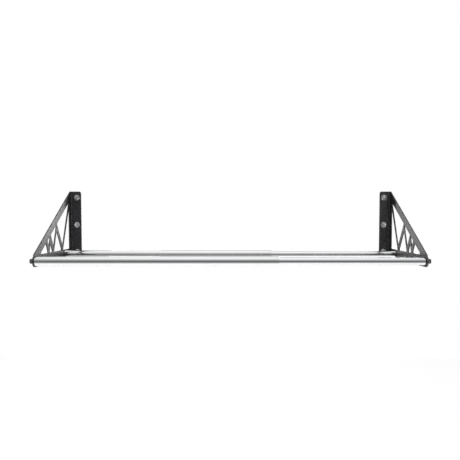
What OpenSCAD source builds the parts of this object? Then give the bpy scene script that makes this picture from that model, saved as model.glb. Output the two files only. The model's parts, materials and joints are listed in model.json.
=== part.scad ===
// Wall-mounted double pull-up bar: two folded truss brackets and two telescoping bars.
// Millimetres. The origin is on the wall plane, midway between the brackets, level with
// their middle lag screws. +X points to the right-hand bracket, +Y into the wall, +Z up.

/* [Wall fixing] */
// Distance between the two columns of lag screws
lag_span = 1219.2; // [900:0.1:1320]
// Vertical pitch of the three lag screws in a bracket
lag_pitch = 107.4; // [80:0.1:112]
// Length of a lag screw that stands out behind the wall plane
lag_reach = 58; // [30:1:90]

/* [Bracket] */
// Sheet thickness of the folded brackets
plate_t = 4; // [3:0.1:6]
// Inside radius of the fold between flange and side plate
fold_r = 4; // [2:0.5:6]
// Width of the flange that lies on the wall, from the outside of the fold
flange_w = 44.45; // [40:0.05:60]
// Height of the flange
flange_h = 263.5; // [255:0.5:300]
// From the free edge of the flange to the middle of its lag holes
lag_margin = 16.65; // [14:0.05:22]
// Radius of the two free corners of the flange
flange_corner_r = 8; // [2:0.5:14]
// Width of the strip of side plate beside the fold
back_strip_w = 25.4; // [18:0.1:34]
// Height of the strip along the bottom that carries the bars
bottom_strip_h = 38.1; // [36:0.1:44]
// Width of the sloping top chord
chord_w = 28; // [20:0.5:32]
// How far the point of the sloping chord reaches past the front bar's axis
chord_tip = 12.8; // [6:0.1:16]
// Width of the slender web members, which lean away from the wall on their way down
slender_w = 8.5; // [5:0.5:10]
// Width of the stout web members, which lean towards the wall on their way down
stout_w = 17; // [12:0.5:18]
// Radius of the corners of the truss openings
opening_r = 3.7; // [1:0.1:4]

/* [Bars] */
// From the wall to the axis of the front bar
front_bar_y = 406.4; // [360:0.1:460]
// From the wall to the axis of the rear bar
rear_bar_y = 91.5; // [80:0.5:110]
// Outside diameter of the outer tubes
outer_tube_d = 31.75; // [30:0.05:36]
// Outside diameter of the inner tubes
inner_tube_d = 25.4; // [22:0.1:27]
// Wall thickness of the inner tubes
inner_tube_wall = 2.5; // [1.5:0.1:4]
// Radial sliding clearance between an outer and an inner tube
slide_gap = 0.2; // [0.1:0.05:0.4]
// Length of the outer tubes
outer_tube_len = 791; // [700:1:900]
// Length of the inner tubes
inner_tube_len = 760; // [650:1:800]

/* [Fasteners] */
// Thread diameter of the bolts that hold the bars
bar_bolt_d = 10; // [8:1:12]
// Length of a bar bolt under its head
bar_bolt_len = 30; // [25:1:35]
// Length of the threaded plug in each tube end
plug_len = 24; // [20:1:28]
// Outside diameter of the washers under the bar bolts
bar_washer_d = 20; // [18:0.5:30]
// Thickness of the washers under the bar bolts
bar_washer_t = 2.5; // [1.5:0.1:3]
// Thread diameter of the lag screws
lag_d = 7.94; // [6:0.02:8]
// Width across the flats of a lag screw head
lag_flats = 12.7; // [11:0.1:14]
// Height of a lag screw head
lag_head_h = 5.2; // [4:0.1:7]
// Outside diameter of a lag washer
lag_washer_d = 22.2; // [18:0.1:25]
// Thickness of a lag washer
lag_washer_t = 1.6; // [1:0.1:3]

/* [Hidden] */
$fn = 96;
eps = 1;
part_gap = 0.05;
arc_relief = 0.02;

half_w = lag_span / 2 - lag_margin + flange_w;
plate_inner_x = half_w - plate_t;
fold_outer_r = fold_r + plate_t;
top_z = flange_h / 2;
bottom_z = -flange_h / 2;
strip_top_z = bottom_z + bottom_strip_h;
lobe_r = bottom_strip_h / 2;
bar_z = bottom_z + lobe_r;
tip_y = front_bar_y + chord_tip;

outer_tube_bore_d = inner_tube_d + 2 * slide_gap;
inner_tube_bore_d = inner_tube_d - 2 * inner_tube_wall;
bar_bolt_head_d = 1.6 * bar_bolt_d;
bar_bolt_socket = 0.8 * bar_bolt_d;
lag_neck_d = lag_d - 0.6;
lag_washer_bore_d = lag_d + 1;
lag_hole_d = 9.5;
lag_point_len = 9;

// Web of the truss as a zigzag of centre lines: [distance from wall, height] of each node,
// from the top of the back strip to the front end of the chord.
web_nodes = [
    [back_strip_w, 84.5],
    [115.5, strip_top_z + 1.5],
    [180.5, -5.5],
    [220, strip_top_z + 1.5],
    [250.5, -44],
    [267, strip_top_z + 1.5],
    [294, -48]
];

// ---- plane geometry of the truss openings -------------------------------------------
// A line is [point, unit direction]. Openings lie on the left of each of their lines.
function unit(v) = v / norm(v);
function left_of(d) = [-d[1], d[0]];
function line(a, b, inset) = [a + inset * left_of(unit(b - a)), unit(b - a)];
function cross2(a, b) = a[0] * b[1] - a[1] * b[0];
function meet(l, m) = l[0] + l[1] * cross2(m[0] - l[0], m[1]) / cross2(l[1], m[1]);
function corners(lines) = [
    for (i = [0 : len(lines) - 1]) meet(lines[i], lines[(i + 1) % len(lines)])
];

chord_low = [tip_y, strip_top_z];
chord_high = [fold_outer_r, top_z];
chord_line = line(chord_low, chord_high, chord_w);
strip_line = line([0, strip_top_z], [tip_y, strip_top_z], 0);
back_line = line([back_strip_w, top_z], [back_strip_w, bottom_z], 0);

// Edge of web member i on its wall side or on its front side
function member_w(i) = i % 2 == 0 ? slender_w : stout_w;
function member_edge(i, wall_side) =
    let (climbs = (i % 2 == 0) == wall_side)
    line(web_nodes[climbs ? i + 1 : i], web_nodes[climbs ? i : i + 1], member_w(i) / 2);

last_member = len(web_nodes) - 2;
openings = [
    corners([back_line, strip_line, member_edge(0, true)]),
    for (i = [0 : 2 : last_member - 1])
        corners([chord_line, member_edge(i, false), member_edge(i + 1, true)]),
    for (i = [1 : 2 : last_member - 2])
        corners([strip_line, member_edge(i + 1, true), member_edge(i, false)]),
    corners([strip_line, chord_line, member_edge(last_member, false)])
];

// Centre of the corner arc at point i of a convex outline that runs anticlockwise
function arc_centre(p, i, r) =
    let (
        n = len(p),
        before = left_of(unit(p[i] - p[(i + n - 1) % n])),
        after = left_of(unit(p[(i + 1) % n] - p[i]))
    )
    p[i] + (before + after) * r / (1 + before * after);
function arc_ends(p, i, r) =
    let (
        n = len(p),
        c = arc_centre(p, i, r),
        before = left_of(unit(p[i] - p[(i + n - 1) % n])),
        after = left_of(unit(p[(i + 1) % n] - p[i]))
    )
    [c - before * r, c - after * r];

// The corner circles run past the straight edges by arc_relief, so each arc meets its edge at
// a clear angle and not at a tangent
module rounded(p, r) {
    reach = r - arc_relief;
    polygon([for (i = [0 : len(p) - 1]) for (e = arc_ends(p, i, reach)) e]);
    for (i = [0 : len(p) - 1])
        translate(arc_centre(p, i, reach))
            circle(r = r, $fn = 48);
}

// ---- bracket ------------------------------------------------------------------------
module side_outline() {
    polygon([
        [fold_outer_r, bottom_z],
        [front_bar_y, bottom_z],
        [front_bar_y, strip_top_z],
        chord_low,
        chord_high
    ]);
    translate([front_bar_y, bar_z])
        circle(r = lobe_r);
}

// Side plate of the right-hand bracket, its outer face at x = half_w
module side_plate() {
    translate([plate_inner_x, 0, 0])
        rotate([90, 0, 90])
            mirror([1, 0, 0])
                difference() {
                    linear_extrude(plate_t)
                        side_outline();
                    for (p = openings)
                        translate([0, 0, -eps])
                            linear_extrude(plate_t + 2 * eps)
                                rounded(p, opening_r);
                    for (y = [front_bar_y, rear_bar_y])
                        translate([y, bar_z, -eps])
                            cylinder(h = plate_t + 2 * eps, d = bar_bolt_d + 1);
                }
}

module flange_outline() {
    r = flange_corner_r;
    difference() {
        translate([half_w - flange_w, bottom_z])
            square([flange_w - fold_outer_r, flange_h]);
        for (s = [-1, 1])
            translate([half_w - flange_w + r, s * (top_z - r)])
                difference() {
                    translate([-r - eps, s > 0 ? 0 : -r - eps])
                        square([r + eps, r + eps]);
                    circle(r = r);
                }
    }
}

module flange() {
    rotate([90, 0, 0])
        difference() {
            linear_extrude(plate_t)
                flange_outline();
            for (z = [-lag_pitch, 0, lag_pitch])
                translate([lag_span / 2, z, -eps])
                    cylinder(h = plate_t + 2 * eps, d = lag_hole_d);
        }
}

module fold() {
    translate([half_w - fold_outer_r, -fold_outer_r, bottom_z])
        linear_extrude(flange_h)
            intersection() {
                difference() {
                    circle(r = fold_outer_r);
                    circle(r = fold_r);
                }
                square(fold_outer_r);
            }
}

module bracket() {
    color("#1b1b1d") {
        union() {
            side_plate();
            flange();
            fold();
        }
    }
}

module left_bracket() {
    mirror([1, 0, 0])
        bracket();
}

module right_bracket() {
    bracket();
}

// ---- bars ---------------------------------------------------------------------------
// Puts its child on a bar's axis, with +X along the bar
module on_bar(y) {
    translate([0, -y, bar_z])
        children();
}

module along_x(from, length) {
    translate([from, 0, 0])
        rotate([0, 90, 0])
            children();
}

module tube(length, outside, bore) {
    difference() {
        cylinder(h = length, d = outside);
        translate([0, 0, -eps])
            cylinder(h = length + 2 * eps, d = bore);
    }
}

module outer_tube(y) {
    color("#d9dadd")
        on_bar(y)
            along_x(-plate_inner_x)
                tube(outer_tube_len, outer_tube_d, outer_tube_bore_d);
}

module inner_tube(y) {
    color("#d9dadd")
        on_bar(y)
            along_x(plate_inner_x - inner_tube_len)
                tube(inner_tube_len, inner_tube_d, inner_tube_bore_d);
}

// Threaded steel plug pressed into a tube end, at the right-hand bracket
module plug(bore) {
    color("#8d8f93")
        along_x(plate_inner_x - plug_len)
            tube(plug_len, bore - 2 * part_gap, bar_bolt_d + 2 * part_gap);
}

// Socket head bolt through the right-hand bracket, its head outside
module bar_bolt() {
    r = bar_bolt_head_d / 2;
    bevel = 0.8;
    color("#232326")
        along_x(half_w + bar_washer_t) {
            difference() {
                rotate_extrude()
                    polygon([
                        [0, 0],
                        [r, 0],
                        [r, bar_bolt_d - bevel],
                        [r - bevel, bar_bolt_d],
                        [0, bar_bolt_d]
                    ]);
                translate([0, 0, bar_bolt_d / 2])
                    cylinder(h = bar_bolt_d, d = bar_bolt_socket / cos(30), $fn = 6);
            }
            translate([0, 0, -bar_bolt_len])
                cylinder(h = bar_bolt_len, d = bar_bolt_d);
        }
}

module bar_washer() {
    color("#232326")
        along_x(half_w)
            tube(bar_washer_t, bar_washer_d, bar_bolt_d + 0.5);
}

// Mirrors its child to the left-hand side when side is -1
module on_side(side) {
    if (side < 0)
        mirror([1, 0, 0])
            children();
    else
        children();
}

// ---- lag screws ---------------------------------------------------------------------
// +Z of the child points into the wall, from the front face of the flange
module at_lag(side, row) {
    translate([side * lag_span / 2, -plate_t, row * lag_pitch])
        rotate([-90, 0, 0])
            children();
}

module lag_washer(side, row) {
    color("#b9bbbe")
        at_lag(side, row)
            translate([0, 0, -lag_washer_t])
                tube(lag_washer_t, lag_washer_d, lag_washer_bore_d);
}

module lag_screw(side, row) {
    thread_len = lag_reach - lag_point_len;
    color("#a9abae")
        at_lag(side, row) {
            translate([0, 0, -lag_washer_t - lag_head_h])
                cylinder(h = lag_head_h, d = lag_flats / cos(30), $fn = 6);
            translate([0, 0, -lag_washer_t])
                cylinder(h = lag_washer_t + plate_t, d = lag_neck_d);
            translate([0, 0, plate_t])
                cylinder(h = thread_len, d = lag_d);
            translate([0, 0, plate_t + thread_len])
                cylinder(h = lag_point_len, d1 = lag_d, d2 = 1);
        }
}

// ---- one module per node ------------------------------------------------------------
module front_outer_tube() { outer_tube(front_bar_y); }
module front_inner_tube() { inner_tube(front_bar_y); }
module rear_outer_tube() { outer_tube(rear_bar_y); }
module rear_inner_tube() { inner_tube(rear_bar_y); }

module left_plug(y) { on_side(-1) on_bar(y) plug(outer_tube_bore_d); }
module right_plug(y) { on_side(1) on_bar(y) plug(inner_tube_bore_d); }
module end_bolt(side, y) { on_side(side) on_bar(y) bar_bolt(); }
module end_washer(side, y) { on_side(side) on_bar(y) bar_washer(); }

left_bracket();
right_bracket();
front_outer_tube();
front_inner_tube();
rear_outer_tube();
rear_inner_tube();
left_plug(front_bar_y);  // front_left_plug
right_plug(front_bar_y);  // front_right_plug
left_plug(rear_bar_y);  // rear_left_plug
right_plug(rear_bar_y);  // rear_right_plug
end_bolt(-1, front_bar_y);  // front_left_bolt
end_bolt(1, front_bar_y);  // front_right_bolt
end_bolt(-1, rear_bar_y);  // rear_left_bolt
end_bolt(1, rear_bar_y);  // rear_right_bolt
end_washer(-1, front_bar_y);  // front_left_washer
end_washer(1, front_bar_y);  // front_right_washer
end_washer(-1, rear_bar_y);  // rear_left_washer
end_washer(1, rear_bar_y);  // rear_right_washer
lag_screw(-1, 1);  // left_top_lag_screw
lag_screw(-1, 0);  // left_middle_lag_screw
lag_screw(-1, -1);  // left_bottom_lag_screw
lag_screw(1, 1);  // right_top_lag_screw
lag_screw(1, 0);  // right_middle_lag_screw
lag_screw(1, -1);  // right_bottom_lag_screw
lag_washer(-1, 1);  // left_top_lag_washer
lag_washer(-1, 0);  // left_middle_lag_washer
lag_washer(-1, -1);  // left_bottom_lag_washer
lag_washer(1, 1);  // right_top_lag_washer
lag_washer(1, 0);  // right_middle_lag_washer
lag_washer(1, -1);  // right_bottom_lag_washer
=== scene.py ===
# %% [markdown]
# # A wall-mounted double pull-up bar
# Two folded steel brackets are screwed to the wall. They carry two chrome bars, one ahead of
# the other, and each bar is a thin tube that slides in a thicker one, so the width can be set.
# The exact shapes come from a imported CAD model, the frame. This lesson keeps the frame still and
# builds a finished piece over each of its nodes, with soft edges, threads and real surfaces.

# %% Load the frame
import json
import math

import bmesh
import bpy
from mathutils import Matrix, Vector


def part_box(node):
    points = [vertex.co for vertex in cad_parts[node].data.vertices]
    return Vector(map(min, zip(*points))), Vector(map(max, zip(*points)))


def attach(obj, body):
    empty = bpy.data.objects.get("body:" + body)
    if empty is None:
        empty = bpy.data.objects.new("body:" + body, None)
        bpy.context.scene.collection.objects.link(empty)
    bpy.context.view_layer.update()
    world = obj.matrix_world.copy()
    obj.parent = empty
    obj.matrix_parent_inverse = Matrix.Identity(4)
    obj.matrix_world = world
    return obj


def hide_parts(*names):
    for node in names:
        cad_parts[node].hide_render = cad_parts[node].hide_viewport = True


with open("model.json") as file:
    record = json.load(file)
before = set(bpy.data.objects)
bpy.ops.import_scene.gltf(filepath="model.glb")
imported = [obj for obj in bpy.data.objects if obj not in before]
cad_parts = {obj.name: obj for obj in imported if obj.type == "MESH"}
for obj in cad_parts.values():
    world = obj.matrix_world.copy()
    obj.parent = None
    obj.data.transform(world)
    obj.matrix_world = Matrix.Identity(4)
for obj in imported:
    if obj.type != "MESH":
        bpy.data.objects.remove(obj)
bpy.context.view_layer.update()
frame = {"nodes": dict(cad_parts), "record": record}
MM = 0.001
print("nodes in the frame:", len(frame["nodes"]))

# %% [markdown]
# ## Sizes
# Every size that a box can give is read from the frame, so the pieces fit their nodes without
# any nudging. Distances from the wall are positive numbers here, although the frame's Y runs into
# the wall.

# %% Read the sizes
bracket_low, bracket_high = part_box("right_bracket")
inner_low, inner_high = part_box("front_inner_tube")
rear_low, rear_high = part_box("rear_inner_tube")
lag_low, lag_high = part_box("right_top_lag_screw")

HALF_WIDTH = bracket_high.x
TOP = bracket_high.z
BOTTOM = bracket_low.z
FLANGE_WIDTH = HALF_WIDTH - bracket_low.x
SHEET = HALF_WIDTH - inner_high.x
BAR_HEIGHT = (inner_low.z + inner_high.z) / 2
BARS = {
    "front": -(inner_low.y + inner_high.y) / 2,
    "rear": -(rear_low.y + rear_high.y) / 2,
}
LOBE_RADIUS = BAR_HEIGHT - BOTTOM
STRIP_TOP = BOTTOM + 2 * LOBE_RADIUS
INNER_RADIUS = (inner_high.z - inner_low.z) / 2
LAG_X = (lag_low.x + lag_high.x) / 2
LAG_PITCH = (lag_low.z + lag_high.z) / 2
print("sheet %.1f mm, bars %.1f and %.1f mm from the wall" %
      (SHEET / MM, BARS["front"] / MM, BARS["rear"] / MM))

# %% [markdown]
# ## Sizes that no box shows
# A box says nothing about what happens inside a piece: how tight the fold is, how wide the members
# of the truss are, how round the corners are cut. These are written down once, with the values
# that the CAD model has.

# %% Write down the other sizes
FOLD_INSIDE = 4 * MM
FOLD_OUTSIDE = FOLD_INSIDE + SHEET
BACK_STRIP = 25.4 * MM  # strip of side plate beside the fold, measured from the wall
CHORD = 28 * MM  # width of the sloping member along the top
CHORD_TIP = 12.8 * MM  # how far past the front bar that member comes down
SLENDER = 8.5 * MM  # web members that lean away from the wall on their way down
STOUT = 17 * MM  # web members that lean back
OPENING_CORNER = 3.7 * MM
FLANGE_CORNER = 8 * MM
print("outside of the fold: radius %.1f mm" % (FOLD_OUTSIDE / MM))

# %% [markdown]
# ## From a mesh to a piece
# Each piece does the same five things once its mesh is drawn: it gets an object, it rides on the
# CAD body that its node belongs to, it stands for that node, it names its finish, and its faces
# are shaded smooth except across real corners. One helper does that, so that no piece forgets.

# %% The piece helper
bodies_of = {
    node: body
    for body, nodes in frame["record"]["behaviour"]["bodies"].items()
    for node in nodes
}
slot_of = {part["node"]: part["material_slot"] for part in frame["record"]["subparts"]}
pieces_by_slot = {}


def finish_piece(node, word, bm, corner_deg=35, flat_first=False):
    """Turns a bmesh into the piece that stands for a CAD node."""
    mesh = bpy.data.meshes.new(node + "_" + word)
    bm.to_mesh(mesh)
    bm.free()
    mesh.shade_smooth()
    mesh.set_sharp_from_angle(angle=math.radians(corner_deg))
    piece = bpy.data.objects.new(node + "_" + word, mesh)
    bpy.context.scene.collection.objects.link(piece)
    if flat_first:
        weighted = piece.modifiers.new("flat faces lead", "WEIGHTED_NORMAL")
        weighted.keep_sharp = True
    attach(piece, bodies_of[node])
    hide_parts(node)
    pieces_by_slot.setdefault(slot_of[node], []).append(piece)
    return piece


def place(bm, matrix):
    """Moves a whole bmesh, and turns its faces back out if the matrix mirrors it."""
    bm.transform(matrix)
    if matrix.determinant() < 0:
        bmesh.ops.reverse_faces(bm, faces=bm.faces)
    return bm


print("finishes in the record:", len(set(slot_of.values())))

# %% [markdown]
# ## Straight lines in a plane
# The side plate is a triangle with openings cut into it. It is drawn with complex numbers, because
# they suit plane geometry: multiplying by 1j turns a direction a quarter to the left, so an edge,
# its inset and the point where two edges meet are one line of code each. The real part is the
# distance from the wall, the imaginary part the height. The first three edges are the inner ones
# of the sloping chord, of the bottom strip and of the strip beside the fold.

# %% Edges of the side plate
def unit(v):
    return v / abs(v)


def edge(start, end, inset=0.0):
    """A straight edge as a point and a direction, moved to its left by inset."""
    direction = unit(end - start)
    return start + inset * 1j * direction, direction


def cross(a, b):
    return (a.conjugate() * b).imag


def meet(one, other):
    """The point where two edges, or the lines along them, meet."""
    return one[0] + one[1] * cross(other[0] - one[0], other[1]) / cross(one[1], other[1])


tip = complex(BARS["front"] + CHORD_TIP, STRIP_TOP)
peak = complex(FOLD_OUTSIDE, TOP)
under_chord = edge(tip, peak, CHORD)
on_strip = edge(complex(0, STRIP_TOP), tip)
beside_fold = edge(complex(BACK_STRIP, TOP), complex(BACK_STRIP, BOTTOM))
first_corner = meet(under_chord, beside_fold)
print("the chord leaves the strip beside the fold %.1f mm up" % (first_corner.imag / MM))

# %% [markdown]
# ## The openings of the truss
# A zigzag web joins the sloping chord and the bottom strip: slender members lean away from the
# wall on their way down, and stout ones lean back. The points below are where the members' centre
# lines turn. Each opening is the triangle between three straight edges, so no corner of it has to
# be written down.

# %% Openings between the members
WEB_FOOT = STRIP_TOP + 1.5 * MM
WEB = [
    complex(BACK_STRIP, 84.5 * MM),
    complex(115.5 * MM, WEB_FOOT),
    complex(180.5 * MM, -5.5 * MM),
    complex(220 * MM, WEB_FOOT),
    complex(250.5 * MM, -44 * MM),
    complex(267 * MM, WEB_FOOT),
    complex(294 * MM, -48 * MM),
]
LAST = len(WEB) - 2


def web_edge(i, wall_side):
    """The edge of web member i that faces the wall, or the one that faces the front."""
    width = SLENDER if i % 2 == 0 else STOUT
    climbs = (i % 2 == 0) == wall_side
    start, end = (WEB[i + 1], WEB[i]) if climbs else (WEB[i], WEB[i + 1])
    return edge(start, end, width / 2)


triangles = [[beside_fold, on_strip, web_edge(0, True)]]
for i in range(0, LAST, 2):
    triangles.append([under_chord, web_edge(i, False), web_edge(i + 1, True)])
for i in range(1, LAST - 1, 2):
    triangles.append([on_strip, web_edge(i + 1, True), web_edge(i, False)])
triangles.append([on_strip, under_chord, web_edge(LAST, False)])
print("openings in a side plate:", len(triangles))

# %% [markdown]
# ## Rounding a corner
# A laser can't cut a sharp inside corner, and powder coat fills what is left, so each opening has
# small round corners. The centre of such a corner lies on the line that halves it.

# %% Round outlines
def arc(centre, radius, start, end, steps):
    """Points along an arc; angles in radians, anticlockwise when end is above start."""
    turn = (end - start) / steps
    return [centre + radius * complex(math.cos(start + turn * i), math.sin(start + turn * i))
            for i in range(steps + 1)]


def round_corners(points, radius, steps=8):
    """Rounds every corner of a convex outline that runs anticlockwise."""
    outline = []
    for i, corner in enumerate(points):
        arriving = unit(corner - points[i - 1]) * 1j
        leaving = unit(points[(i + 1) % len(points)] - corner) * 1j
        together = (arriving.conjugate() * leaving).real
        centre = corner + (arriving + leaving) * radius / (1 + together)
        start = math.atan2(-arriving.imag, -arriving.real)
        turn = math.atan2(cross(arriving, leaving), together)
        outline += arc(centre, radius, start, start + turn, steps)
    return outline


def opening_outline(edges):
    """The rounded triangle between three edges."""
    corners = [meet(edges[i], edges[(i + 1) % 3]) for i in range(3)]
    return round_corners(corners, OPENING_CORNER)


print("points round an opening:", len(opening_outline(triangles[0])))

# %% [markdown]
# ## The flat blank
# The real bracket starts as a flat blank with every hole already in it, and is folded last. The
# same order works here and keeps the fold honest: the sheet is one piece, with no seam between
# side plate and flange. The blank is measured from the start of the fold. The side plate lies on
# the positive side, the fold takes a quarter turn of sheet, and the flange lies beyond it. The
# outline goes round the free corners of the flange, the round end below the front bar, a small
# notch where that end meets the bottom strip, and up the slope.

# %% Outline of the blank
FOLD_LENGTH = math.pi / 2 * (FOLD_INSIDE + SHEET / 2)
FLANGE_EDGE = -FOLD_LENGTH - (FLANGE_WIDTH - FOLD_OUTSIDE)
NOTCH = 0.9 * MM
TIP_CORNER = 0.5 * MM
CORNER_STEPS = 12
LOBE_STEPS = 40
TIP_STEPS = 8

lobe_centre = complex(BARS["front"], BAR_HEIGHT)
notch_angle = math.asin(1 - NOTCH / LOBE_RADIUS)
notch_end = lobe_centre + LOBE_RADIUS * complex(math.cos(notch_angle), math.sin(notch_angle))


def on_blank(point):
    """From distance-to-wall on the side plate to the blank's own measure."""
    return point - FOLD_OUTSIDE


def blank_outline():
    """The rim of the blank, anticlockwise from the flange's low corner."""
    down, up, left = -math.pi / 2, math.pi / 2, math.pi
    low_corner = complex(FLANGE_EDGE + FLANGE_CORNER, BOTTOM + FLANGE_CORNER)
    high_corner = complex(FLANGE_EDGE + FLANGE_CORNER, TOP - FLANGE_CORNER)
    slope = math.atan2((peak - tip).imag, (tip - peak).real)
    tip_centre = tip + TIP_CORNER * complex(-1 / math.tan(slope / 2), 1)
    lobe = arc(lobe_centre, LOBE_RADIUS, down, notch_angle, LOBE_STEPS)
    notch = [complex(notch_end.real, STRIP_TOP)]
    tip_arc = arc(tip_centre, TIP_CORNER, down, up - slope, TIP_STEPS)
    outline = arc(low_corner, FLANGE_CORNER, left, 1.5 * math.pi, CORNER_STEPS)
    outline += [on_blank(p) for p in lobe + notch + tip_arc + [peak]]
    outline += [complex(-FOLD_LENGTH, TOP)]
    outline += arc(high_corner, FLANGE_CORNER, up, left, CORNER_STEPS)
    return outline


loops = [blank_outline()]
blank_length = max(p.real for p in loops[0]) - FLANGE_EDGE
print("flat blank %.0f by %.0f mm" % (blank_length / MM, (TOP - BOTTOM) / MM))

# %% [markdown]
# ## Everything that is cut out
# The openings of the truss, the two holes for the bar bolts and the three for the lag screws are
# closed loops like the rim, so they go into the same list. The screw holes are a little wider than
# the screws, as a fitter needs them to be.

# %% Holes in the blank
BAR_HOLE = 5.5 * MM
LAG_HOLE = 4.75 * MM
HOLE_STEPS = 40


def hole_loop(centre, radius):
    return arc(centre, radius, 0, 2 * math.pi, HOLE_STEPS)[:-1]


loops += [[on_blank(p) for p in opening_outline(edges)] for edges in triangles]
for distance in BARS.values():
    loops.append(hole_loop(on_blank(complex(distance, BAR_HEIGHT)), BAR_HOLE))
lag_on_blank = LAG_X - HALF_WIDTH + FOLD_OUTSIDE - FOLD_LENGTH
for row in (-1, 0, 1):
    loops.append(hole_loop(complex(lag_on_blank, row * LAG_PITCH), LAG_HOLE))
print("loops in the blank:", len(loops))

# %% [markdown]
# ## From loops to sheet
# A plate with a dozen holes is awkward to fill by hand. A flat curve object with several closed
# splines does it by itself: the loops inside the first one become holes, extrude gives it the
# thickness, and its bevel rounds every rim, as the powder coat does on the real one. The bevel
# grows outwards, so an offset of the same size takes it back to the true outline.

# %% Fill the blank
RIM = 0.45 * MM


def blank_mesh():
    """The flat blank as a mesh: X is the blank's measure, Y the height, Z the thickness."""
    curve = bpy.data.curves.new("blank", "CURVE")
    curve.dimensions = "2D"
    curve.fill_mode = "BOTH"
    curve.extrude = SHEET / 2 - RIM
    curve.bevel_depth = RIM
    curve.bevel_resolution = 3
    curve.offset = -RIM
    for loop in loops:
        spline = curve.splines.new("POLY")
        spline.points.add(len(loop) - 1)
        for point, spot in zip(spline.points, loop):
            point.co = (spot.real, spot.imag, 0, 1)
        spline.use_cyclic_u = True
    holder = bpy.data.objects.new("blank", curve)
    bpy.context.scene.collection.objects.link(holder)
    bpy.context.view_layer.update()
    evaluated = holder.evaluated_get(bpy.context.evaluated_depsgraph_get())
    mesh = bpy.data.meshes.new_from_object(evaluated)
    bpy.data.objects.remove(holder)
    bpy.data.curves.remove(curve)
    return mesh


flat_blank = blank_mesh()
print("faces in the flat blank:", len(flat_blank.polygons))

# %% [markdown]
# ## The fold
# Bending is a change of coordinates. A point of the blank that lies in the fold goes round the
# fold's centre, by as much angle as its place along the fold, at a radius that depends on how deep
# it sits in the sheet. Beyond the fold the sheet runs straight again, along the wall.

# %% Where a point of the blank goes
def bend(point):
    """Where a point of the blank ends up on the right-hand bracket."""
    along, height, depth = point.x, point.y, point.z + SHEET / 2
    centre_x = HALF_WIDTH - FOLD_OUTSIDE
    if along >= 0:
        return Vector((HALF_WIDTH - SHEET + depth, -FOLD_OUTSIDE - along, height))
    if along <= -FOLD_LENGTH:
        return Vector((centre_x + along + FOLD_LENGTH, depth - SHEET, height))
    angle = -along / FOLD_LENGTH * math.pi / 2
    radius = FOLD_INSIDE + depth
    return Vector((centre_x + radius * math.cos(angle),
                   radius * math.sin(angle) - FOLD_OUTSIDE, height))


print("the flange's free edge lands at x = %.1f mm" % (bend(Vector((FLANGE_EDGE, 0, 0))).x / MM))

# %% [markdown]
# ## The brackets
# A mesh can only bend where it has edges, so the fold is first cut into narrow strips. Before a
# point is bent it is marked if it belongs to the rounded rim, because the coat wears there. The
# left bracket is the same sheet folded the other way, which a mirror does.

# %% Make the brackets
FOLD_STEPS = 10
SAME_POINT = 0.002 * MM
FACE_DEPTH = SHEET / 2 - 0.01 * MM  # points nearer the middle of the sheet than this are rim
MIRROR_X = Matrix.Scale(-1, 4, (1, 0, 0))
SIDES = {"right": Matrix.Identity(4), "left": MIRROR_X}


def bracket_mesh():
    bm = bmesh.new()
    bm.from_mesh(flat_blank)
    bmesh.ops.remove_doubles(bm, verts=bm.verts, dist=SAME_POINT)
    for i in range(FOLD_STEPS + 1):
        everything = bm.verts[:] + bm.edges[:] + bm.faces[:]
        cut_at = -FOLD_LENGTH * i / FOLD_STEPS
        bmesh.ops.bisect_plane(bm, geom=everything, plane_co=(cut_at, 0, 0), plane_no=(1, 0, 0))
    on_rim = bm.verts.layers.float.new("rim")
    for vert in bm.verts:
        vert[on_rim] = 1.0 if abs(vert.co.z) < FACE_DEPTH else 0.0
        vert.co = bend(vert.co)
    bmesh.ops.recalc_face_normals(bm, faces=bm.faces)
    return bm


for side, matrix in SIDES.items():
    bm = place(bracket_mesh(), matrix)
    made = finish_piece(side + "_bracket", "folded", bm, flat_first=True)
    print(made.name, "faces", len(made.data.polygons))
bpy.data.meshes.remove(flat_blank)

# %% [markdown]
# ## A lathe
# Tubes, plugs, washers and bolts are all turned on a lathe, or look as if they were. A short
# profile of (distance along the axis, radius) is spun round the X axis. A profile that closes on
# itself makes a ring, such as a tube, and one that ends on the axis makes a solid. A radius may
# also be a function of the angle, which is how a hexagon or a knurl is turned on the same lathe.

# %% The lathe
def ring_at(bm, along, radius, sides):
    """A ring of points round the X axis. radius may be a function of the angle."""
    ring = []
    for i in range(sides):
        angle = 2 * math.pi * i / sides
        r = radius(angle) if callable(radius) else radius
        ring.append(bm.verts.new((along, r * math.cos(angle), r * math.sin(angle))))
    return ring


def skin(bm, one, other):
    """Faces between two rings of the same number of points."""
    for i in range(len(one)):
        j = (i + 1) % len(one)
        bm.faces.new((one[i], one[j], other[j], other[i]))


def spin(profile, sides, closes=False):
    """Spins a profile round the X axis, as a ring or as a solid with closed ends."""
    bm = bmesh.new()
    rings = [ring_at(bm, along, radius, sides) for along, radius in profile]
    for one, other in zip(rings, rings[1:]):
        skin(bm, one, other)
    if closes:
        skin(bm, rings[-1], rings[0])
    else:
        bm.faces.new(rings[0])
        bm.faces.new(rings[-1])
    bmesh.ops.recalc_face_normals(bm, faces=bm.faces)
    return bm


trial = spin([(0, 1), (1, 1)], 6)
print("a trial prism with six sides has", len(trial.faces), "faces")
trial.free()

# %% [markdown]
# ## Soft edges
# No real edge is perfectly sharp, and a rounded one catches a thin line of light that tells the
# eye where a piece ends. So every ring gets a rounded edge outside and a smaller one at its bore.

# %% Profile of a ring
QUARTER = math.pi / 2


def soft_corner(along, radius, size, turn_from, turn_to, steps=4):
    """Profile points of a rounded corner whose arc centre is (along, radius)."""
    points = arc(complex(along, radius), size, turn_from, turn_to, steps)
    return [(p.real, p.imag) for p in points]


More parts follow.
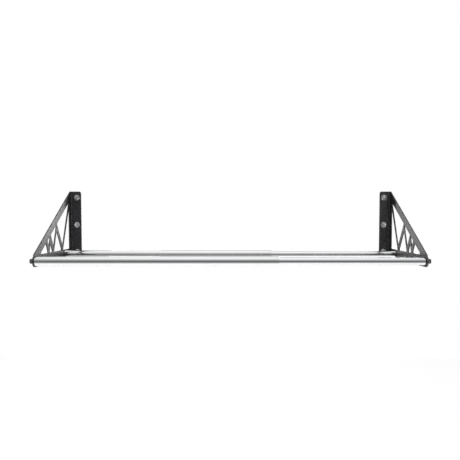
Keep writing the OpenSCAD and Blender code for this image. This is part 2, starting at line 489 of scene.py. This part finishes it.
def ring_profile(start, end, outside, bore, soft, bore_soft):
    """A closed profile of a ring with rounded outer and bore edges."""
    profile = soft_corner(end - soft, outside - soft, soft, QUARTER, 0)
    profile += soft_corner(end - bore_soft, bore + bore_soft, bore_soft, 0, -QUARTER)
    profile += soft_corner(start + bore_soft, bore + bore_soft, bore_soft, -QUARTER, -2 * QUARTER)
    profile += soft_corner(start + soft, outside - soft, soft, 2 * QUARTER, QUARTER)
    return profile


print("points in the profile of a ring:", len(ring_profile(0, 2, 3, 1, 0.1, 0.1)))

# %% [markdown]
# ## The chrome tubes
# Seen from the front the tubes are only a band of reflections, so what matters is that the wall is
# truly round and truly straight. A hundred and twenty-eight sides with smooth shading do that. The
# ends are square cuts with the burr taken off, which shows at the step where the thin tube goes
# into the thick one.

# %% Make the tubes
TUBE_SIDES = 128
SLIDE_GAP = 0.2 * MM
INNER_WALL = 2.5 * MM
TUBE_DEBURR = 0.6 * MM
BORE_DEBURR = 0.35 * MM
BORES = {"outer": INNER_RADIUS + SLIDE_GAP, "inner": INNER_RADIUS - INNER_WALL}
for row, distance in BARS.items():
    for kind, bore in BORES.items():
        node = row + "_" + kind + "_tube"
        low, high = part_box(node)
        outside = (high.z - low.z) / 2
        profile = ring_profile(low.x, high.x, outside, bore, TUBE_DEBURR, BORE_DEBURR)
        on_bar = Matrix.Translation((0, -distance, BAR_HEIGHT))
        made = finish_piece(node, "chromed", place(spin(profile, TUBE_SIDES, True), on_bar))
        print(made.name, "%.0f mm long" % ((high.x - low.x) / MM))

# %% [markdown]
# ## Plugs and washers
# A tube has no thread to screw into, so each tube end holds a steel plug with one. A washer lies
# between the bolt's head and the side plate. Both are plain rings. They are drawn at the
# right-hand end of a bar, and the mirror puts the same ring at the left-hand end.

# %% Make the plugs and washers
BOLT_RADIUS = 5 * MM
RING_SIDES = 64
RINGS = {  # finish, room round the bolt, rounding outside, rounding of the bore
    "plug": ("turned", 0.05 * MM, 0.8 * MM, 0.5 * MM),
    "washer": ("blackened", 0.25 * MM, 0.5 * MM, 0.2 * MM),
}
BAR_ENDS = [(row + "_" + side, side, BARS[row]) for row in BARS for side in SIDES]


def at_bar(distance, side):
    """Puts a piece that was made on the X axis at one end of a bar."""
    return SIDES[side] @ Matrix.Translation((0, -distance, BAR_HEIGHT))


def along_bar(node, side):
    """Low and high X of a node, as if it were at the right-hand end."""
    low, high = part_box(node)
    return (low.x, high.x) if side == "right" else (-high.x, -low.x)


for end_name, side, distance in BAR_ENDS:
    for kind, (word, room_round, soft, bore_soft) in RINGS.items():
        node = end_name + "_" + kind
        low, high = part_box(node)
        start, end = along_bar(node, side)
        outside = (high.z - low.z) / 2
        profile = ring_profile(start, end, outside, BOLT_RADIUS + room_round, soft, bore_soft)
        finish_piece(node, word, place(spin(profile, RING_SIDES, True), at_bar(distance, side)))
        print(node, "outside %.1f mm" % (2 * outside / MM))

# %% [markdown]
# ## Rims that aren't round
# The head of a socket head bolt is what shows of it: its rim is knurled for finger grip and a
# six-sided key socket is pressed into its end. A knurl is a radius that goes up and down with the
# angle, and a socket is a radius that follows a hexagon, so both are functions for the lathe. The
# thread inside the plug is never seen, so plain grooves stand for it there.

# %% Hexagon, knurl and grooves
KNURLS = 40
KNURL_DEPTH = 0.28 * MM
THREAD_PITCH = 1.5 * MM
THREAD_DEPTH = 0.55 * MM


def hexagon(flats):
    """Radius of a hexagon, as a function of the angle round its middle."""
    def radius(angle):
        turn = math.fmod(angle, math.pi / 3) - math.pi / 6
        return flats / 2 / math.cos(turn)
    return radius


def knurled(radius):
    """Radius of a knurled rim: it dips between its teeth."""
    return lambda angle: radius - KNURL_DEPTH * (0.5 + 0.5 * math.cos(KNURLS * angle))


def grooved(start, end):
    """Profile points of V grooves between two places along a bar bolt."""
    points = []
    for i in range(int((end - start) / THREAD_PITCH)):
        points.append((start + i * THREAD_PITCH, BOLT_RADIUS))
        points.append((start + (i + 0.5) * THREAD_PITCH, BOLT_RADIUS - THREAD_DEPTH))
    return points + [(end, BOLT_RADIUS)]


print("a hexagon of 2 across its flats reaches", round(hexagon(2)(0), 3), "at its corner")

# %% [markdown]
# ## Bar bolts
# One black bolt goes through each washer and side plate into the plug. Its profile runs from the
# tip of the thread, up the underside of the head, along the knurled rim, round its edge and down
# into the key socket, and ends at the bottom of the socket's drilled cone.

# %% Make the bar bolts
BOLT_SIDES = KNURLS * 6
HEAD_RADIUS = 1.6 * BOLT_RADIUS
HEAD_ROUND = 1.2 * MM
HEAD_BEVEL = 0.5 * MM
KNURL_MARGIN = 0.6 * MM
KEY_FLATS = 8 * MM
KEY_CHAMFER = 0.5 * MM
SOCKET_CONE = 0.9 * MM
LEAD_IN = 0.8 * MM
PLAIN_SHANK = 4 * MM


def bar_bolt(washer_face, tail, head_end):
    """A socket head bolt along X, its head outside and its thread towards the middle."""
    rim_end = head_end - HEAD_ROUND
    socket_floor = head_end - BOLT_RADIUS
    profile = [(tail, BOLT_RADIUS - THREAD_DEPTH)]
    profile += grooved(tail + LEAD_IN, washer_face - PLAIN_SHANK)
    profile += [(washer_face, BOLT_RADIUS), (washer_face, HEAD_RADIUS - HEAD_BEVEL)]
    profile += [(washer_face + HEAD_BEVEL, HEAD_RADIUS)]
    profile += [(washer_face + HEAD_BEVEL + KNURL_MARGIN, knurled(HEAD_RADIUS))]
    profile += [(rim_end - KNURL_MARGIN, knurled(HEAD_RADIUS))]
    profile += soft_corner(rim_end, HEAD_RADIUS - HEAD_ROUND, HEAD_ROUND, QUARTER, 0)
    profile += [(head_end, lambda a: hexagon(KEY_FLATS)(a) + KEY_CHAMFER)]
    profile += [(head_end - KEY_CHAMFER, hexagon(KEY_FLATS))]
    profile += [(socket_floor, hexagon(KEY_FLATS)), (socket_floor - SOCKET_CONE, 0.6 * MM)]
    return spin(profile, BOLT_SIDES)


for end_name, side, distance in BAR_ENDS:
    tail, head_end = along_bar(end_name + "_bolt", side)
    washer_face = along_bar(end_name + "_washer", side)[1]
    bm = place(bar_bolt(washer_face, tail, head_end), at_bar(distance, side))
    made = finish_piece(end_name + "_bolt", "blackened", bm, 30)
    print(made.name, "%.0f mm long" % ((head_end - tail) / MM))

# %% [markdown]
# ## The head of a lag screw
# A lag screw is a coarse wood screw with a hexagon head. Its head is chamfered: the top is a cone,
# so each corner of the hexagon ends a little lower than the middle of each flat. A ring of points
# on the hexagon does this when each point sinks in proportion to how far outside the flat top it
# lies.

# %% Head of a lag screw
LAG_SIDES = 48
LAG_FLATS = 12.7 * MM
TOP_RADIUS = 0.47 * LAG_FLATS
HEAD_CHAMFER = math.tan(math.radians(28))


def lag_head(bm, face, under):
    """The chamfered hexagon, from its face down to the washer. X points into the wall."""
    middle = ring_at(bm, face, TOP_RADIUS * 0.35, LAG_SIDES)
    top = ring_at(bm, face, TOP_RADIUS, LAG_SIDES)
    brim = ring_at(bm, face, hexagon(LAG_FLATS), LAG_SIDES)
    for vert in brim:
        vert.co.x += (Vector((0, vert.co.y, vert.co.z)).length - TOP_RADIUS) * HEAD_CHAMFER
    foot = ring_at(bm, under, hexagon(LAG_FLATS), LAG_SIDES)
    bm.faces.new(middle)
    skin(bm, middle, top)
    skin(bm, top, brim)
    skin(bm, brim, foot)
    return foot


print("head %.1f mm across its flats" % (LAG_FLATS / MM))

# %% [markdown]
# ## A thread that winds
# The part of the screw that goes into the wall's stud is out in the open here, so its thread is a
# real helix. A grid of points goes round and along the shank, and the radius of each point depends
# on how far it is from the helix, so the thread winds without any modelling of the turns. It grows
# out of the plain neck over one turn and runs out along the point.

# %% Thread of a lag screw
LAG_RADIUS = 3.97 * MM
LAG_ROOT = 0.72  # the root's radius as a share of the crest's
LAG_TIP = 0.3 * MM
LAG_THREAD_PITCH = 2.8 * MM
LAG_RINGS_PER_TURN = 10
RIDGE_SLOPE = 4  # the ridge falls to nothing within a quarter of a turn on each side
RIDGE_FULLNESS = 0.7


def thread_radius(along, left, grown):
    """Radius at one place along the thread, as a function of the angle."""
    def radius(angle):
        turn = (along / LAG_THREAD_PITCH - angle / (2 * math.pi)) % 1.0
        ridge = max(0.0, 1 - abs(turn - 0.5) * RIDGE_SLOPE) ** RIDGE_FULLNESS
        root = LAG_RADIUS * LAG_ROOT
        return LAG_TIP + left * (root + (LAG_RADIUS - root) * ridge * grown - LAG_TIP)
    return radius


def lag_thread(bm, ring, start, end, point_end):
    """Winds the thread from start to end and runs it out along the point."""
    step = LAG_THREAD_PITCH / LAG_RINGS_PER_TURN
    count = int((point_end - start) / step)
    for i in range(count + 1):
        along = start + (point_end - start) * i / count
        left = min(1.0, (point_end - along) / (point_end - end))
        grown = min(1.0, (along - start) / LAG_THREAD_PITCH)
        new_ring = ring_at(bm, along, thread_radius(along, left, grown), LAG_SIDES)
        skin(bm, ring, new_ring)
        ring = new_ring
    bm.faces.new(ring)


print("thread %.1f mm over its crests" % (2 * LAG_RADIUS / MM))

# %% [markdown]
# ## Six lag screws
# Whoever drives a screw stops when it is tight, wherever the hexagon then points. So each head is
# turned by an angle of its own, and the row of heads looks fitted by hand. The screws are drawn
# along X like everything from the lathe, and a quarter turn points them into the wall.

# %% Make the lag screws and their washers
TO_WALL = Matrix.Rotation(math.radians(90), 4, "Z")
POINT_LENGTH = 9 * MM
NECK_RADIUS = LAG_RADIUS - 0.3 * MM
THREAD_START = 0.4 * MM
WASHER_GAP = 0.5 * MM
WASHER_SOFT = 0.35 * MM
WASHER_BORE_SOFT = 0.2 * MM
WASHER_SIDES = 72
ROWS = {"top": 1, "middle": 0, "bottom": -1}
HEAD_TURNS = {"right_top": 22, "right_middle": 49, "right_bottom": 31,
              "left_top": 14, "left_middle": 37, "left_bottom": 5}


def lag_screw(face, under, point_end):
    bm = bmesh.new()
    foot = lag_head(bm, face, under)
    neck = ring_at(bm, under, NECK_RADIUS, LAG_SIDES)
    skin(bm, foot, neck)
    at_plane = ring_at(bm, 0, NECK_RADIUS, LAG_SIDES)
    skin(bm, neck, at_plane)
    lag_thread(bm, at_plane, THREAD_START, point_end - POINT_LENGTH, point_end)
    bmesh.ops.recalc_face_normals(bm, faces=bm.faces)
    return bm


for name, turned in HEAD_TURNS.items():
    side, row = name.split("_")
    x = LAG_X if side == "right" else -LAG_X
    spot = Matrix.Translation((x, 0, ROWS[row] * LAG_PITCH))
    low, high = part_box(name + "_lag_screw")
    washer_low, washer_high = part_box(name + "_lag_washer")
    turn = Matrix.Rotation(math.radians(turned), 4, "X")
    bm = place(lag_screw(low.y, washer_low.y, high.y), spot @ TO_WALL @ turn)
    finish_piece(name + "_lag_screw", "zinced", bm, 30)
    profile = ring_profile(washer_low.y, washer_high.y, (washer_high.x - washer_low.x) / 2,
                           LAG_RADIUS + WASHER_GAP, WASHER_SOFT, WASHER_BORE_SOFT)
    bm = place(spin(profile, WASHER_SIDES, True), spot @ TO_WALL)
    finish_piece(name + "_lag_washer", "zinced", bm)
    print(name, "lag screw and washer, head turned %d degrees" % turned)

# %% [markdown]
# ## Materials
# Every finish is procedural. The helpers below make a material with one shader and hand back its
# node tree, and add noise in the piece's own coordinates. Coordinates are in metres, so a noise of
# scale 500 has grains of about two millimetres.

# %% A material and its noise
def new_material(name, base, metallic, roughness):
    material = bpy.data.materials.new(name)
    material.use_nodes = True
    shader = material.node_tree.nodes["Principled BSDF"]
    shader.inputs["Base Color"].default_value = (*base, 1)
    shader.inputs["Metallic"].default_value = metallic
    shader.inputs["Roughness"].default_value = roughness
    material.diffuse_color = (*base, 1)
    return material, material.node_tree, shader


def coordinates(tree, stretch=(1, 1, 1)):
    """The piece's own coordinates in metres, stretched along its axes."""
    source = tree.nodes.new("ShaderNodeTexCoord")
    mapping = tree.nodes.new("ShaderNodeMapping")
    mapping.inputs["Scale"].default_value = stretch
    tree.links.new(source.outputs["Object"], mapping.inputs["Vector"])
    return mapping.outputs["Vector"]


def noise(tree, where, scale, detail=2.0, rough=0.5):
    node = tree.nodes.new("ShaderNodeTexNoise")
    node.inputs["Scale"].default_value = scale
    node.inputs["Detail"].default_value = detail
    node.inputs["Roughness"].default_value = rough
    tree.links.new(where, node.inputs["Vector"])
    return node.outputs["Fac"]


print("finishes to make:", ", ".join(pieces_by_slot))

# %% [markdown]
# ## What a noise can steer
# A noise is only a number between nought and one at each point. To be of use it is mapped to the
# range of some property, such as roughness, or it mixes two colours, or it is read as a height
# and tilts the surface. Three helpers do these three things, and a fourth puts a finished material
# on its pieces.

# %% From noise to surface
def between(tree, value, low, high, low_in=0.3, high_in=0.7):
    """Maps a noise to a range of values."""
    node = tree.nodes.new("ShaderNodeMapRange")
    node.inputs["From Min"].default_value = low_in
    node.inputs["From Max"].default_value = high_in
    node.inputs["To Min"].default_value = low
    node.inputs["To Max"].default_value = high
    tree.links.new(value, node.inputs["Value"])
    return node.outputs["Result"]


def blend_colours(tree, factor, one, other):
    """Mixes two colours; either may be a plain colour or another node's output."""
    node = tree.nodes.new("ShaderNodeMix")
    node.data_type = "RGBA"
    tree.links.new(factor, node.inputs["Factor"])
    for socket, colour in (("A", one), ("B", other)):
        target = [s for s in node.inputs if s.name == socket and s.type == "RGBA"][0]
        if isinstance(colour, tuple):
            target.default_value = (*colour, 1)
        else:
            tree.links.new(colour, target)
    return [s for s in node.outputs if s.type == "RGBA"][0]


def bump(tree, shader, heights):
    """Chains bumps of (height, strength, distance) into the shader's normal."""
    normal = None
    for height, strength, distance in heights:
        node = tree.nodes.new("ShaderNodeBump")
        node.inputs["Strength"].default_value = strength
        node.inputs["Distance"].default_value = distance
        tree.links.new(height, node.inputs["Height"])
        if normal is not None:
            tree.links.new(normal, node.inputs["Normal"])
        normal = node.outputs["Normal"]
    tree.links.new(normal, shader.inputs["Normal"])


def dress(slot, material):
    """Puts a material on every piece of a slot."""
    for piece in pieces_by_slot[slot]:
        piece.data.materials.clear()
        piece.data.materials.append(material)
    print(material.name, "on", len(pieces_by_slot[slot]), "pieces")


print("pieces without a finish:", sum(len(pieces) for pieces in pieces_by_slot.values()))

# %% [markdown]
# ## Black satin powder coat
# Powder coat is a plastic skin baked on to the steel. It is almost black when it is faced, and
# turns silvery at a glancing angle, where it mirrors the bright room: that is plain Fresnel gloss,
# so the shader does it alone. Up close it has an orange peel of shallow dimples a millimetre or
# two across and a finer grain. At the rims the skin is thinner and rubbed a little paler, which
# the "rim" value stored on the mesh marks.

# %% Powder coat
COAT_BLACK = (0.013, 0.013, 0.014)
COAT_DARKER = (0.012, 0.012, 0.013)
COAT_PALER = (0.015, 0.015, 0.016)
COAT_RUBBED = (0.05, 0.05, 0.052)
coat, tree, shader = new_material("black_powder_coat", COAT_BLACK, 0.0, 0.28)
shader.inputs["Specular IOR Level"].default_value = 0.25
where = coordinates(tree)
cloud = between(tree, noise(tree, where, 14, 3), 0, 1)
skin_colour = blend_colours(tree, cloud, COAT_DARKER, COAT_PALER)
rim = tree.nodes.new("ShaderNodeAttribute")
rim.attribute_name = "rim"
rubbed = tree.nodes.new("ShaderNodeMath")
rubbed.operation = "MULTIPLY"
tree.links.new(rim.outputs["Fac"], rubbed.inputs[0])
tree.links.new(between(tree, noise(tree, where, 60, 4, 0.6), 0.1, 0.7), rubbed.inputs[1])
with_rims = blend_colours(tree, rubbed.outputs[0], skin_colour, COAT_RUBBED)
tree.links.new(with_rims, shader.inputs["Base Color"])
sheen = between(tree, noise(tree, where, 35, 3, 0.5), 0.25, 0.3)
tree.links.new(sheen, shader.inputs["Roughness"])
orange_peel = noise(tree, where, 520, 1)
grain = noise(tree, where, 2600, 2)
bump(tree, shader, [(orange_peel, 0.12, 0.1 * MM), (grain, 0.08, 0.04 * MM)])
dress("bracket_coat", coat)

# %% [markdown]
# ## Chrome
# Chrome plate is a mirror on polished steel. What makes it read as metal and not as glass is that
# the mirror isn't perfect: polishing leaves fine lines round the tube, and hands leave a faint
# cloudiness. Both go into the roughness, and the lines into a very shallow bump. The lines run
# round the tube because their noise is squeezed far more along X than across it.

# %% Chrome plate
LINE_STRETCH = (900, 60, 60)
CLOUD_STRETCH = (9, 14, 14)


def chrome_plate(name, tint):
    material, tree, shader = new_material(name, tint, 1.0, 0.08)
    lines = noise(tree, coordinates(tree, LINE_STRETCH), 1.0, 3, 0.6)
    cloud = noise(tree, coordinates(tree, CLOUD_STRETCH), 1.0, 4, 0.6)
    both = tree.nodes.new("ShaderNodeMath")
    both.operation = "MULTIPLY_ADD"
    tree.links.new(cloud, both.inputs[0])
    both.inputs[1].default_value = 0.6
    tree.links.new(between(tree, lines, 0.0, 0.4), both.inputs[2])
    sheen = between(tree, both.outputs[0], 0.05, 0.13, 0.2, 0.8)
    tree.links.new(sheen, shader.inputs["Roughness"])
    darker = tuple(c * 0.97 for c in tint)
    colour = blend_colours(tree, between(tree, cloud, 0, 1), tint, darker)
    tree.links.new(colour, shader.inputs["Base Color"])
    bump(tree, shader, [(lines, 0.04, 0.02 * MM)])
    return material


dress("outer_tube_chrome", chrome_plate("chrome_thick_tube", (0.86, 0.865, 0.875)))
dress("inner_tube_chrome", chrome_plate("chrome_thin_tube", (0.85, 0.855, 0.87)))

# %% [markdown]
# ## Blackened steel
# The bar bolts and their washers are blackened in an oil bath: a dark, slightly oily metal with a
# blotchy sheen, a little paler and browner where the bath took less.

# %% Black oxide
OXIDE = (0.09, 0.09, 0.092)
OXIDE_DEEP = (0.07, 0.07, 0.073)
OXIDE_THIN = (0.115, 0.113, 0.11)


def black_oxide(name):
    material, tree, shader = new_material(name, OXIDE, 0.8, 0.36)
    where = coordinates(tree)
    blotch = between(tree, noise(tree, where, 180, 4, 0.6), 0, 1)
    tree.links.new(blend_colours(tree, blotch, OXIDE_DEEP, OXIDE_THIN), shader.inputs["Base Color"])
    sheen = between(tree, noise(tree, where, 420, 3), 0.28, 0.46)
    tree.links.new(sheen, shader.inputs["Roughness"])
    bump(tree, shader, [(noise(tree, where, 1500, 3), 0.15, 0.04 * MM)])
    return material


dress("bolt_black", black_oxide("black_oxide_bolt"))
dress("washer_black", black_oxide("black_oxide_washer"))

# %% [markdown]
# ## Zinc plate
# Zinc plate is a soft grey metal with a fine crystal pattern. Cells of a Voronoi texture give each
# crystal its own tone and roughness, and a slow noise lays a thin dull film over some of them.

# %% Zinc
def zinc_plate(name, light):
    material, tree, shader = new_material(name, light, 0.9, 0.36)
    where = coordinates(tree)
    crystals = tree.nodes.new("ShaderNodeTexVoronoi")
    crystals.inputs["Scale"].default_value = 900
    tree.links.new(where, crystals.inputs["Vector"])
    tone = tree.nodes.new("ShaderNodeSeparateColor")
    tree.links.new(crystals.outputs["Color"], tone.inputs["Color"])
    cell = tone.outputs["Red"]
    dark = tuple(c * 0.72 for c in light)
    dull = tuple(c * 0.9 for c in light)
    plated = blend_colours(tree, between(tree, cell, 0, 1, 0, 1), light, dark)
    film = between(tree, noise(tree, where, 90, 3), 0, 1)
    tree.links.new(blend_colours(tree, film, plated, dull), shader.inputs["Base Color"])
    tree.links.new(between(tree, cell, 0.3, 0.46, 0, 1), shader.inputs["Roughness"])
    bump(tree, shader, [(noise(tree, where, 1800, 2), 0.1, 0.04 * MM)])
    return material


dress("lag_screw_zinc", zinc_plate("zinc_lag_screw", (0.55, 0.55, 0.56)))
dress("lag_washer_zinc", zinc_plate("zinc_lag_washer", (0.62, 0.62, 0.63)))

# %% [markdown]
# ## Turned steel
# The plugs are bare steel, fresh from the lathe. The tool leaves rings round the axis, which a
# wave texture along X draws, and the steel is not quite even in tone.

# %% Turned steel
STEEL = (0.42, 0.42, 0.43)
STEEL_DARKER = (0.38, 0.38, 0.39)
STEEL_PALER = (0.46, 0.455, 0.45)
steel, tree, shader = new_material("turned_steel", STEEL, 1.0, 0.3)
where = coordinates(tree)
rings = tree.nodes.new("ShaderNodeTexWave")
rings.wave_type = "BANDS"
rings.bands_direction = "X"
rings.inputs["Scale"].default_value = 700
rings.inputs["Distortion"].default_value = 0.4
tree.links.new(where, rings.inputs["Vector"])
tree.links.new(between(tree, noise(tree, where, 150, 3), 0.22, 0.42), shader.inputs["Roughness"])
tint = blend_colours(tree, noise(tree, where, 60), STEEL_DARKER, STEEL_PALER)
tree.links.new(tint, shader.inputs["Base Color"])
bump(tree, shader, [(rings.outputs["Fac"], 0.15, 0.03 * MM)])
dress("plug_steel", steel)

# %% [markdown]
# ## The room that the chrome shows
# A bar of chrome has no look of its own: it shows the room it stands in. So the room is drawn with
# care: white above, a dark band level with the eye, where the unlit side of a studio is, and paler
# again towards the floor. Each list below gives brightness by elevation in degrees, one for the
# side in front of the object and one for the side behind it, and a colour ramp carries each.

# %% Brightness of the room
FRONT_ROOM = [(-90, 0.85), (-50, 0.72), (-25, 0.36), (-10, 0.16), (0, 0.12), (20, 0.28),
              (45, 0.66), (70, 1.05), (90, 1.12)]
BACK_ROOM = [(-90, 0.85), (-45, 0.55), (-15, 0.08), (-3, 0.08), (4, 0.45), (30, 0.5),
             (55, 0.85), (90, 1.12)]
PEAK_LEVEL = 2.0  # a ramp holds colours up to 1, so levels are kept in it as shares of this

world = bpy.data.worlds.new("studio")
world.use_nodes = True
bpy.context.scene.world = world
tree = world.node_tree
tree.nodes.clear()
direction = tree.nodes.new("ShaderNodeTexCoord")
split = tree.nodes.new("ShaderNodeSeparateXYZ")
tree.links.new(direction.outputs["Generated"], split.inputs["Vector"])


def room_ramp(levels):
    """A ramp from straight down to straight up, with brightness given by elevation."""
    ramp = tree.nodes.new("ShaderNodeValToRGB")
    ramp.color_ramp.interpolation = "EASE"
    stops = ramp.color_ramp.elements
    while len(stops) < len(levels):
        stops.new(0.5)
    for stop, (elevation, level) in zip(stops, levels):
        share = level / PEAK_LEVEL
        stop.position = (math.sin(math.radians(elevation)) + 1) / 2
        stop.color = (share, share, share, 1)
    height = tree.nodes.new("ShaderNodeMapRange")
    height.inputs["From Min"].default_value = -1
    tree.links.new(split.outputs["Z"], height.inputs["Value"])
    tree.links.new(height.outputs["Result"], ramp.inputs["Fac"])
    return ramp.outputs["Color"]


print("levels in front and behind:", len(FRONT_ROOM), len(BACK_ROOM))

# %% [markdown]
# ## One world out of two rooms
# The direction's Y tells front from back, and a soft step between the two hides the seam. What the
# eye sees past the object is plain white, whatever the mirrors see: the world asks each ray
# whether it comes straight from the eye, and answers those with white.

# %% Mix the world
SEAM = 0.3
behind = tree.nodes.new("ShaderNodeMapRange")
behind.interpolation_type = "SMOOTHSTEP"
behind.inputs["From Min"].default_value = -SEAM
behind.inputs["From Max"].default_value = SEAM
tree.links.new(split.outputs["Y"], behind.inputs["Value"])
front_side = room_ramp(FRONT_ROOM)
back_side = room_ramp(BACK_ROOM)
room = blend_colours(tree, behind.outputs["Result"], front_side, back_side)
lit_room = tree.nodes.new("ShaderNodeBackground")
lit_room.inputs["Strength"].default_value = PEAK_LEVEL
tree.links.new(room, lit_room.inputs["Color"])
white = tree.nodes.new("ShaderNodeBackground")
white.inputs["Color"].default_value = (1, 1, 1, 1)
ray = tree.nodes.new("ShaderNodeLightPath")
chosen = tree.nodes.new("ShaderNodeMixShader")
tree.links.new(ray.outputs["Is Camera Ray"], chosen.inputs[0])
tree.links.new(lit_room.outputs[0], chosen.inputs[1])
tree.links.new(white.outputs[0], chosen.inputs[2])
output = tree.nodes.new("ShaderNodeOutputWorld")
tree.links.new(chosen.outputs[0], output.inputs["Surface"])
print("nodes in the world:", len(tree.nodes))

# %% [markdown]
# ## The floor
# The object hangs on a wall, so the floor is well below it and hardly seen. It is there for the
# undersides: it glows a little, as a lit white sweep does, and meets the white room without a
# line.

# %% Floor
FLOOR_DROP = 1.1
FLOOR_HALF = 2.6
FLOOR_FRONT = -1.4
FLOOR_GLOW = 0.34
floor_height = BOTTOM - FLOOR_DROP
corners = [(-FLOOR_HALF, FLOOR_FRONT), (FLOOR_HALF, FLOOR_FRONT),
           (FLOOR_HALF, FLOOR_HALF), (-FLOOR_HALF, FLOOR_HALF)]
floor_mesh = bpy.data.meshes.new("floor")
floor_mesh.from_pydata([(x, y, floor_height) for x, y in corners], [], [(0, 1, 2, 3)])
floor = bpy.data.objects.new("floor", floor_mesh)
bpy.context.scene.collection.objects.link(floor)
pale, tree, shader = new_material("pale_floor", (0.85, 0.85, 0.85), 0.0, 0.8)
shader.inputs["Emission Color"].default_value = (1, 1, 1, 1)
shader.inputs["Emission Strength"].default_value = FLOOR_GLOW
mottle = noise(tree, coordinates(tree), 3, 3)
floor_colour = blend_colours(tree, mottle, (0.84, 0.84, 0.84), (0.87, 0.87, 0.87))
tree.links.new(floor_colour, shader.inputs["Base Color"])
floor.data.materials.append(pale)
print("floor %.2f m below the brackets" % FLOOR_DROP)

# %% [markdown]
# ## Lamps
# A black gloss plate that is seen nearly edge-on shows little but what it mirrors, and from the
# front the side plates mirror what is behind the object. So each of them has a panel back there,
# with a narrowed spread that keeps most of its light on that plate. Two tall strips at the front
# corners light the brackets from the sides. A wide fill in front lights the flanges and the screw
# heads, and is hidden from mirrors, so that no square patch shows in the bars.

# %% Lights
def soft_light(name, spot, towards, size, power):
    """A rectangular lamp that faces a point."""
    light = bpy.data.lights.new(name, "AREA")
    light.shape = "RECTANGLE"
    light.size, light.size_y = size
    light.energy = power
    lamp = bpy.data.objects.new(name, light)
    lamp.location = spot
    aim = Vector(towards) - Vector(spot)
    lamp.rotation_euler = aim.to_track_quat("-Z", "Y").to_euler()
    bpy.context.scene.collection.objects.link(lamp)
    print(name, "%.1f W" % power)
    return lamp


MIDDLE = (0, 0, 0)
STRIP_SIZE = (0.8, 1.6)
PANEL_SPREAD = math.radians(70)
FILL_SPREAD = math.radians(50)
rear_right = soft_light("rear_right_panel", (1.6, 2.3, 0.06), (-0.63, -0.2, 0), (2.2, 0.5), 10)
rear_left = soft_light("rear_left_panel", (-0.85, 2.6, 0.1), (0.63, -0.25, 0), (0.5, 0.8), 1.5)
rear_right.data.spread = PANEL_SPREAD
rear_left.data.spread = PANEL_SPREAD
soft_light("left_strip", (-2.6, -2.4, 0.3), MIDDLE, STRIP_SIZE, 16)
soft_light("right_strip", (2.6, -2.4, 0.3), MIDDLE, STRIP_SIZE, 16)
front_fill = soft_light("front_fill", (0.4, -3.4, 0.3), MIDDLE, (2.0, 1.2), 18)
front_fill.data.spread = FILL_SPREAD
front_fill.visible_glossy = False

# %% [markdown]
# ## Camera
# The viewer stands about two metres in front, level with the brackets, and looks a few degrees
# down. A small shift slides the picture without turning the camera any further. The standard view
# transform leaves white as white.

# %% Camera
LENS = 42.287
SENSOR = 36
CAMERA_BACK = 2.15544
CAMERA_UP = 0.0317
PITCH = 2.765
SHIFT_X = -0.0008
SHIFT_Y = 0.028
camera_data = bpy.data.cameras.new("camera")
camera_data.lens = LENS
camera_data.sensor_width = SENSOR
camera_data.shift_x = SHIFT_X
camera_data.shift_y = SHIFT_Y
camera = bpy.data.objects.new("camera", camera_data)
camera.location = (0, -CAMERA_BACK, CAMERA_UP)
camera.rotation_euler = (math.radians(90 - PITCH), 0, 0)
bpy.context.scene.collection.objects.link(camera)
bpy.context.scene.camera = camera
bpy.context.scene.view_settings.view_transform = "Standard"
print("camera %.2f m from the wall" % CAMERA_BACK)
